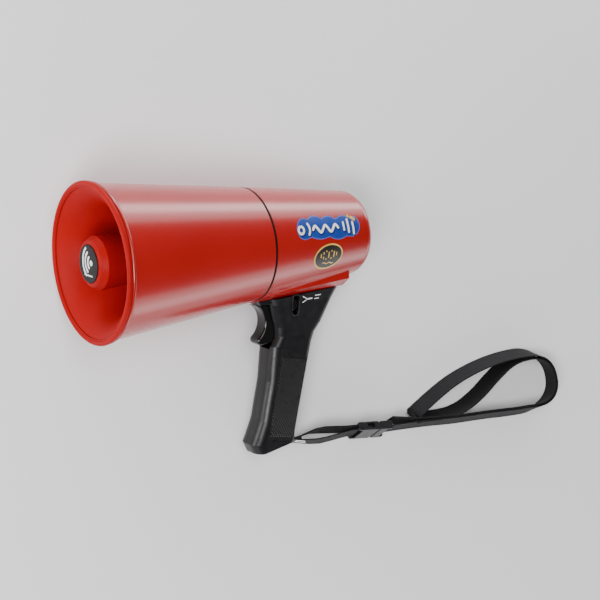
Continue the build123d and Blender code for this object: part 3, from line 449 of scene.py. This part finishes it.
# share of the way, and how far the loop's two sides stand off its middle line
SWELL = ((0.10, 0.0022, 0.0034), (0.25, 0.0036, 0.0052), (0.42, 0.0040, 0.0050), (0.60, 0.0028, 0.0038),
         (0.80, 0.0012, 0.0024), (0.92, 0.0006, 0.0020))
for share, low, high in SWELL:
    loop.append(tether_point(bar.x + share * tether_run, bar.y - BUCKLE_DRIFT * share - low - 0.0012))
for i in range(13):
    t = -math.pi / 2 + math.pi * i / 12
    loop.append(tether_point(buckle_bar_x + turn * math.cos(t), buckle_bar_y + turn * math.sin(t)))
for share, low, high in reversed(SWELL):
    loop.append(tether_point(bar.x + share * tether_run, bar.y - BUCKLE_DRIFT * share + high + 0.0006))


def tether_lean(x):
    return RING_LEAN + (LEAN - RING_LEAN) * min(1.0, tether_share(x) * 2.2)


tether = ribbon("wrist_tether", loop, tether_lean, "strap_front", closed=True, fixed_side=Vector((0, 1, 0)))
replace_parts(tether, "strap_tether")


def leaning_copy(node_name, piece_name, body):
    """The CAD buckle half, leaning about the buckle's own middle line as the webbing does."""
    mesh = frame["nodes"][node_name].data.copy()
    mesh.name = piece_name
    piece = bpy.data.objects.new(piece_name, mesh)
    bpy.context.collection.objects.link(piece)
    middle = Vector((socket_low.x, bar.y - BUCKLE_DRIFT, BUCKLE_MIDDLE))
    axis = Vector((math.cos(BUCKLE_TURN), math.sin(BUCKLE_TURN), 0))
    lean = Matrix.Rotation(-LEAN, 4, axis)
    mesh.transform(Matrix.Translation(middle) @ lean @ Matrix.Translation(-middle))
    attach(piece, body)
    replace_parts(piece, node_name)


leaning_copy("buckle_socket", "buckle_socket_half", "strap_front")
leaning_copy("buckle_plug", "buckle_plug_half", "strap_rear")

# ------------------------------------------------------------------ grip pattern
PARTING, SADDLE_REAR = 168.0, -49.5
# the handle's half width at depths below the saddle
SECTIONS = ((-12.0, 20.5), (1.5, 20.0), (12.0, 18.5), (35.5, 16.5), (45.0, 15.8), (55.0, 15.5),
            (163.0, 15.5))
# the patterned field's corners: behind the parting, and below the saddle
FIELD = ((35.0, 57.0), (66.0, 70.0), (47.0, 156.0), (17.5, 150.0))
PLATE_OUT, PLATE_BACK, TIP_OUT = 14.95, 14.72, 15.85
PITCH_LONG, PITCH_CROSS = 3.6, 3.0
FIELD_MARGIN = 1.6


def half_width(z):
    """Half the handle's width at height z."""
    depth = SADDLE_REAR - z
    for (d0, w0), (d1, w1) in zip(SECTIONS, SECTIONS[1:]):
        if depth <= d1:
            return w0 + (w1 - w0) * (depth - d0) / (d1 - d0)
    return SECTIONS[-1][1]


corners = [Vector((PARTING + x, SADDLE_REAR - d)) for x, d in FIELD]


def inside_field(point, margin):
    """Whether a point is at least margin inside every edge of the field."""
    for a, b in zip(corners, corners[1:] + corners[:1]):
        edge = b - a
        inward = Vector((edge.y, -edge.x)).normalized()
        if (point - a).dot(inward) < margin:
            return False
    return True


def knurled(name, side):
    """A plate with rows of small four-sided points, drawn on one side of the grip."""
    plate = side * PLATE_OUT
    centre = sum(corners, Vector((0, 0))) / 4
    rim = [c + (centre - c).normalized() * 0.25 for c in corners]
    verts = [at(c.x, plate, c.y) for c in rim] + [at(c.x, side * PLATE_BACK, c.y) for c in rim]
    faces = [(0, 1, 2, 3), (7, 6, 5, 4)]
    faces += [(i, i + 4, (i + 1) % 4 + 4, (i + 1) % 4) for i in range(4)]
    long_way = Vector((-18.2, -86.0)).normalized()
    cross_way = Vector((-long_way.y, long_way.x))
    for row in range(-22, 23):
        for column in range(-9, 10):
            shift = 0.5 * (row % 2)
            place = (centre + long_way * (row * PITCH_LONG / 2)
                     + cross_way * ((column + shift) * PITCH_CROSS))
            if not inside_field(place, FIELD_MARGIN):
                continue
            first = len(verts)
            for size, out in ((0.92, plate), (0.16, side * TIP_OUT)):
                for along, across in ((1, 0), (0, 1), (-1, 0), (0, -1)):
                    p = (place + long_way * (along * size * PITCH_LONG / 2)
                         + cross_way * (across * size * PITCH_CROSS / 2))
                    verts.append(at(p.x, out, p.y))
            for i in range(4):
                k = (i + 1) % 4
                faces.append((first + i, first + k, first + 4 + k, first + 4 + i))
            faces.append(tuple(first + 4 + i for i in range(4)))
    piece = mesh_piece(name, verts, faces, GRIP, "housing", smooth=False)
    heal = bmesh.new()
    heal.from_mesh(piece.data)
    bmesh.ops.recalc_face_normals(heal, faces=heal.faces)
    heal.to_mesh(piece.data)
    heal.free()
    return piece


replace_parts(knurled("grip_pattern_left", -1), "grip_panel_left")
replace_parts(knurled("grip_pattern_right", 1), "grip_panel_right")


# ------------------------------------------------------------------ printed marks
BODY_FRONT, BODY_TAPER, BODY_LENGTH = 56.0, 13.0, 119.0  # radius at the parting, its fall, over what length
BADGE_FACE, PANEL_FACE = 0.2, 296.0                      # x of the badge's front and the panel's back
MARK_LIFT = 0.06


def body_side(x, z, lift):
    """A place over the rear body's printed side, lift millimetres off it."""
    radius = BODY_FRONT - BODY_TAPER * (x - PARTING) / BODY_LENGTH + lift
    return at(x, -math.sqrt(radius * radius - z * z), z)


def handle_side(x, z, lift):
    return at(x, -half_width(z) - lift, z)


def badge_front(y, z, lift):
    return at(BADGE_FACE - lift, y, z)


def panel_back(y, z, lift):
    return at(PANEL_FACE + lift, y, z)


def stroke(points, width, where, lift, close=False):
    """Vertices and faces of a flat round-ended stroke along 2D points, laid on a surface."""
    points = [Vector(p) for p in points]
    count = len(points)
    verts, faces = [], []
    for i, p in enumerate(points):
        before = points[i - 1] if i or close else p
        after = points[(i + 1) % count] if i < count - 1 or close else p
        along = (after - before).normalized()
        side = Vector((-along.y, along.x)) * width / 2
        verts += [where(*(p + side), lift), where(*(p - side), lift)]
    for i in range(count if close else count - 1):
        a, b = 2 * i, 2 * ((i + 1) % count)
        faces.append((a, a + 1, b + 1, b))
    if not close:
        for p, inner in ((points[0], points[1]), (points[-1], points[-2])):
            out = (p - inner).normalized()
            side = Vector((-out.y, out.x))
            first = len(verts)
            verts.append(where(*p, lift))
            for i in range(9):
                t = -math.pi / 2 + math.pi * i / 8
                verts.append(where(*(p + (out * math.cos(t) + side * math.sin(t)) * width / 2), lift))
            faces += [(first, first + 1 + i, first + 2 + i) for i in range(8)]
    return verts, faces


def disc(centre, radius, where, lift, squash=1.0, turned=0.0, rings=5, steps=48):
    """Vertices and faces of a filled ellipse laid on a surface."""
    verts, faces = [where(*centre, lift)], []
    for ring in range(1, rings + 1):
        for i in range(steps):
            t = 2 * math.pi * i / steps
            reach = radius * ring / rings
            x, y = reach * math.cos(t), squash * reach * math.sin(t)
            verts.append(where(centre[0] + x * math.cos(turned) - y * math.sin(turned),
                               centre[1] + x * math.sin(turned) + y * math.cos(turned), lift))
    for i in range(steps):
        k = (i + 1) % steps
        faces.append((0, 1 + i, 1 + k))
        for ring in range(rings - 1):
            a, b = 1 + ring * steps, 1 + (ring + 1) * steps
            faces.append((a + i, b + i, b + k, a + k))
    return verts, faces


def marks(name, shapes, material, body, toward):
    """One piece out of several flat shapes, all facing toward."""
    verts, faces = [], []
    for shape_verts, shape_faces in shapes:
        first = len(verts)
        verts += shape_verts
        faces += [tuple(first + i for i in face) for face in shape_faces]
    piece = mesh_piece(name, verts, faces, material, body)
    turned_faces = [p.index for p in piece.data.polygons if p.normal.dot(toward) < 0]
    if turned_faces:
        heal = bmesh.new()
        heal.from_mesh(piece.data)
        heal.faces.ensure_lookup_table()
        bmesh.ops.reverse_faces(heal, faces=[heal.faces[i] for i in turned_faces])
        heal.to_mesh(piece.data)
        heal.free()
    return piece


def wavy_label(grow, lift):
    """The cloud-edged label, grown or shrunk by grow millimetres."""
    verts, faces = [], []
    steps, rows = 110, 8
    x0, x1 = 196.5 - grow, 277.5 + grow
    for i in range(steps + 1):
        share = i / steps
        x = x0 + (x1 - x0) * share
        end = (1 - abs(2 * share - 1) ** 7) ** 0.5
        spine = 17.6 - 2.6 * share + 1.2 * math.sin(6.5 * share)
        top = spine + end * (7.6 + 2.6 * abs(math.sin(4.5 * math.pi * share + 0.4)) + grow)
        low = spine - end * (7.8 + 2.6 * abs(math.sin(3.5 * math.pi * share + 0.9)) + grow)
        for j in range(rows + 1):
            verts.append(body_side(x, low + (top - low) * j / rows, lift))
    for i in range(steps):
        for j in range(rows):
            a = i * (rows + 1) + j
            faces.append((a, a + 1, a + rows + 2, a + rows + 1))
    return verts, faces


outward = -axis_y
label_edge = marks("label_wavy_edge", [wavy_label(0.9, 0.10)], PALE_BLUE, "housing", outward)
marks("label_wavy_field", [wavy_label(0.0, 0.18)], BLUE, "housing", outward)
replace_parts(label_edge, "sticker_wavy")


def wave_points(x0, x1, z0, z1, height, turns, phase=0.0, count=60):
    return [(x0 + (x1 - x0) * i / count,
             z0 + (z1 - z0) * i / count + height * math.sin(2 * math.pi * turns * i / count + phase))
            for i in range(count + 1)]


def arc_points(x, z, radius, start, end, count=20):
    angles = [math.radians(start + (end - start) * i / count) for i in range(count + 1)]
    return [(x + radius * math.cos(t), z + radius * math.sin(t)) for t in angles]


LONG_WAVE = wave_points(216, 249, 16.6, 15.2, 3.0, 2.5)
WAVE_MARKS = [
    (LONG_WAVE, 2.7),
    (arc_points(201, 17.5, 3.4, 110, 430, 24), 2.5),
    (arc_points(204, 17.5, 8.0, -38, 38), 2.4),
    (wave_points(262.5, 262.5, 9.5, 21.0, 0, 1, 0, 6), 2.6),
    (wave_points(256.5, 256.5, 12.2, 19.0, 0, 1, 0, 6), 2.4),
    (wave_points(269.0, 269.0, 7.4, 18.0, 0, 1, 0, 6), 2.6),
]
shade = [stroke([(x + 0.5, z - 0.6) for x, z in points], width + 1.5, body_side, 0.24)
         for points, width in WAVE_MARKS]
marks("label_wavy_shade", shade, NAVY, "housing", outward)
marks("label_wavy_marks", [stroke(points, width, body_side, 0.30) for points, width in WAVE_MARKS],
      WHITE, "housing", outward)
spark = [stroke([(268.6, 22.6), (272.2, 20.6)], 3.0, body_side, 0.32),
         disc((265.2, 24.2), 1.5, body_side, 0.32)]
marks("label_wavy_spark", spark, GOLD, "housing", outward)

OVAL, OVAL_TURN = (235.6, -12.0), math.radians(4)
OVAL_LONG, OVAL_SHORT, OVAL_BORDER = 19.0, 12.9, 1.6
field_long, field_short = OVAL_LONG - OVAL_BORDER, OVAL_SHORT - OVAL_BORDER
rim = disc(OVAL, OVAL_LONG, body_side, 0.12, OVAL_SHORT / OVAL_LONG, OVAL_TURN, 8, 72)
field = disc(OVAL, field_long, body_side, 0.20, field_short / field_long, OVAL_TURN, 8, 72)
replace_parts(marks("label_oval_rim", [rim], GOLD, "housing", outward), "sticker_oval")
marks("label_oval_field", [field], LABEL, "housing", outward)
level_marks = []
for i, tall in enumerate((3.0, 6.0, 8.4, 5.0, 8.0, 5.4, 2.4)):
    x, z = 225.5 + 3.4 * i, -10.2
    level_marks.append(stroke([(x, z - tall / 2), (x, z + tall / 2)], 1.3, body_side, 0.28))
level_marks.append(stroke(wave_points(229, 243, -18.4, -18.9, 0.7, 2), 0.9, body_side, 0.28))
marks("label_oval_marks", level_marks, GOLD, "housing", outward)

sound_marks = [stroke(arc_points(-5.5, 1.5, radius, -52, 52), 2.3, badge_front, MARK_LIFT)
               for radius in (6.2, 11.0, 15.6)]
sound_marks.append(disc((-5.5, 1.5), 2.6, badge_front, MARK_LIFT))
sound_marks.append(stroke([(-7, -10.5), (7, -10.5)], 1.3, badge_front, MARK_LIFT))
marks("badge_marks", sound_marks, WHITE, "horn", -axis_x)

symbol = [stroke(points, width, handle_side, MARK_LIFT) for points, width in (
    ([(225.5, -55.6), (231.0, -58.6), (225.5, -61.6)], 1.0),
    ([(231.5, -58.6), (236.5, -58.6)], 1.3),
    ([(240.5, -56.0), (247.0, -56.0)], 0.9),
    ([(240.0, -59.4), (245.0, -59.4)], 0.9),
)]
marks("latch_symbol", symbol, WHITE, "housing", outward)

KNOB_Z, DIAL_RADIUS = -21, 9.6
dial_marks = []
for i in range(11):
    t = math.radians(-140 + 28 * i)
    size = 1.7 if i % 5 == 0 else 1.0
    mark = [(reach * math.sin(t), KNOB_Z + reach * math.cos(t))
            for reach in (DIAL_RADIUS, DIAL_RADIUS + size)]
    dial_marks.append(stroke(mark, 0.45, panel_back, MARK_LIFT))
marks("volume_scale", dial_marks, WHITE, "housing", axis_x)


# ------------------------------------------------------------------ black band over the parting line: the seal's black, widened over the surface as painted shade of the gap
GAP_SHADE_STEPS = 160
BELL_TAPER = 0.118  # of the bell's radius, for each millimetre forward of the parting
# painted shade: the band lies on the surface and is 2.2 mm wide, wider than the parting gap; its black is partly
# the seal's own rubber and partly painted shade of the gap
gap_shade_line = [(167.1, 0.05), (167.4, 0.14), (169.1, 0.14), (169.4, 0.05)]
gap_shade_verts, gap_shade_faces = [], []
for x, lift in gap_shade_line:
    radius = BODY_FRONT + BELL_TAPER * max(0.0, PARTING - x) + lift
    for i in range(GAP_SHADE_STEPS):
        t = 2 * math.pi * i / GAP_SHADE_STEPS
        gap_shade_verts.append(at(x, radius * math.cos(t), radius * math.sin(t)))
for row in range(len(gap_shade_line) - 1):
    a, b = row * GAP_SHADE_STEPS, (row + 1) * GAP_SHADE_STEPS
    for i in range(GAP_SHADE_STEPS):
        k = (i + 1) % GAP_SHADE_STEPS
        gap_shade_faces.append((a + i, a + k, b + k, b + i))
gap_shade_band = mesh_piece("parting_gap_shade", gap_shade_verts, gap_shade_faces, SEAL_RUBBER_AND_GAP_SHADE, "horn")
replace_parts(gap_shade_band, "seam_ring")


# ------------------------------------------------------------------ raised rim round the latch slot
def tube_ring(name, path, radius, material, body):
    """A closed round bead along a path of points."""
    sides, count = 8, len(path)
    verts, faces = [], []
    for i, p in enumerate(path):
        along = (path[(i + 1) % count] - path[i - 1]).normalized()
        a = along.cross(axis_y).normalized()
        b = along.cross(a).normalized()
        for j in range(sides):
            t = 2 * math.pi * j / sides
            verts.append(p + (a * math.cos(t) + b * math.sin(t)) * radius * MM)
    for i in range(count):
        for j in range(sides):
            k, n = (j + 1) % sides, (i + 1) % count
            faces.append((i * sides + j, i * sides + k, n * sides + k, n * sides + j))
    piece = mesh_piece(name, verts, faces, material, body)


slot_x, slot_half, slot_high, slot_low = 217.0, 4.1, -54.6, -69.6
bead_path = [(slot_x + slot_half * math.cos(t), slot_high + slot_half * math.sin(t) * 0.6)
             for t in [math.pi * i / 12 for i in range(13)]]
bead_path += [(slot_x + slot_half * math.cos(t), slot_low + slot_half * math.sin(t))
              for t in [math.pi + math.pi * i / 12 for i in range(13)]]
tube_ring("latch_slot_rim", [handle_side(x, z, 0.05) for x, z in bead_path], 0.75, BLACK,
          "housing")

# ------------------------------------------------------------------ stage
floor_mesh = bpy.data.meshes.new("floor")
edge = 60
floor_mesh.from_pydata([(-edge, -edge, 0), (edge, -edge, 0), (edge, edge, 0), (-edge, edge, 0)], [],
                       [(0, 1, 2, 3)])
floor = bpy.data.objects.new("floor", floor_mesh)
bpy.context.collection.objects.link(floor)
floor_material, _, _, floor_shader = new_material("floor")
floor_shader.inputs["Base Color"].default_value = (0.90, 0.90, 0.91, 1)
floor_shader.inputs["Roughness"].default_value = 0.9
floor_shader.inputs["Specular IOR Level"].default_value = 0.1
floor_mesh.materials.append(floor_material)


def softbox(name, place, aim, size, power):
    light = bpy.data.lights.new(name, "AREA")
    light.shape = "RECTANGLE"
    light.size, light.size_y = size
    light.energy = power
    lamp = bpy.data.objects.new(name, light)
    bpy.context.collection.objects.link(lamp)
    lamp.location = place
    lamp.rotation_euler = (Vector(aim) - Vector(place)).to_track_quat("-Z", "Y").to_euler()


softbox("key", (-1.1, -0.35, 1.45), (0, 0, 0.05), (0.7, 0.7), 26)
softbox("top", (-0.35, 0.35, 1.7), (0, 0, 0.05), (0.9, 0.9), 12)
softbox("mouth_fill", (-1.7, 0.35, 0.45), (-0.1, 0.06, 0.08), (1.0, 0.8), 20)
softbox("far_low", (0.45, 1.15, 0.14), (0, 0.05, 0.10), (3.0, 0.27), 24)
softbox("far_high", (0.45, 1.2, 0.45), (0, 0.05, 0.10), (3.0, 0.32), 9)
softbox("near_low", (0.45, -1.15, 0.16), (0, 0.05, 0.10), (3.0, 0.30), 11)
softbox("near_high", (0.45, -1.15, 0.44), (0, 0.05, 0.10), (3.0, 0.24), 5)
world = bpy.data.worlds.new("world")
world.use_nodes = True
world.node_tree.nodes["Background"].inputs["Color"].default_value = (1, 1, 1, 1)
world.node_tree.nodes["Background"].inputs["Strength"].default_value = 0.16
bpy.context.scene.world = world
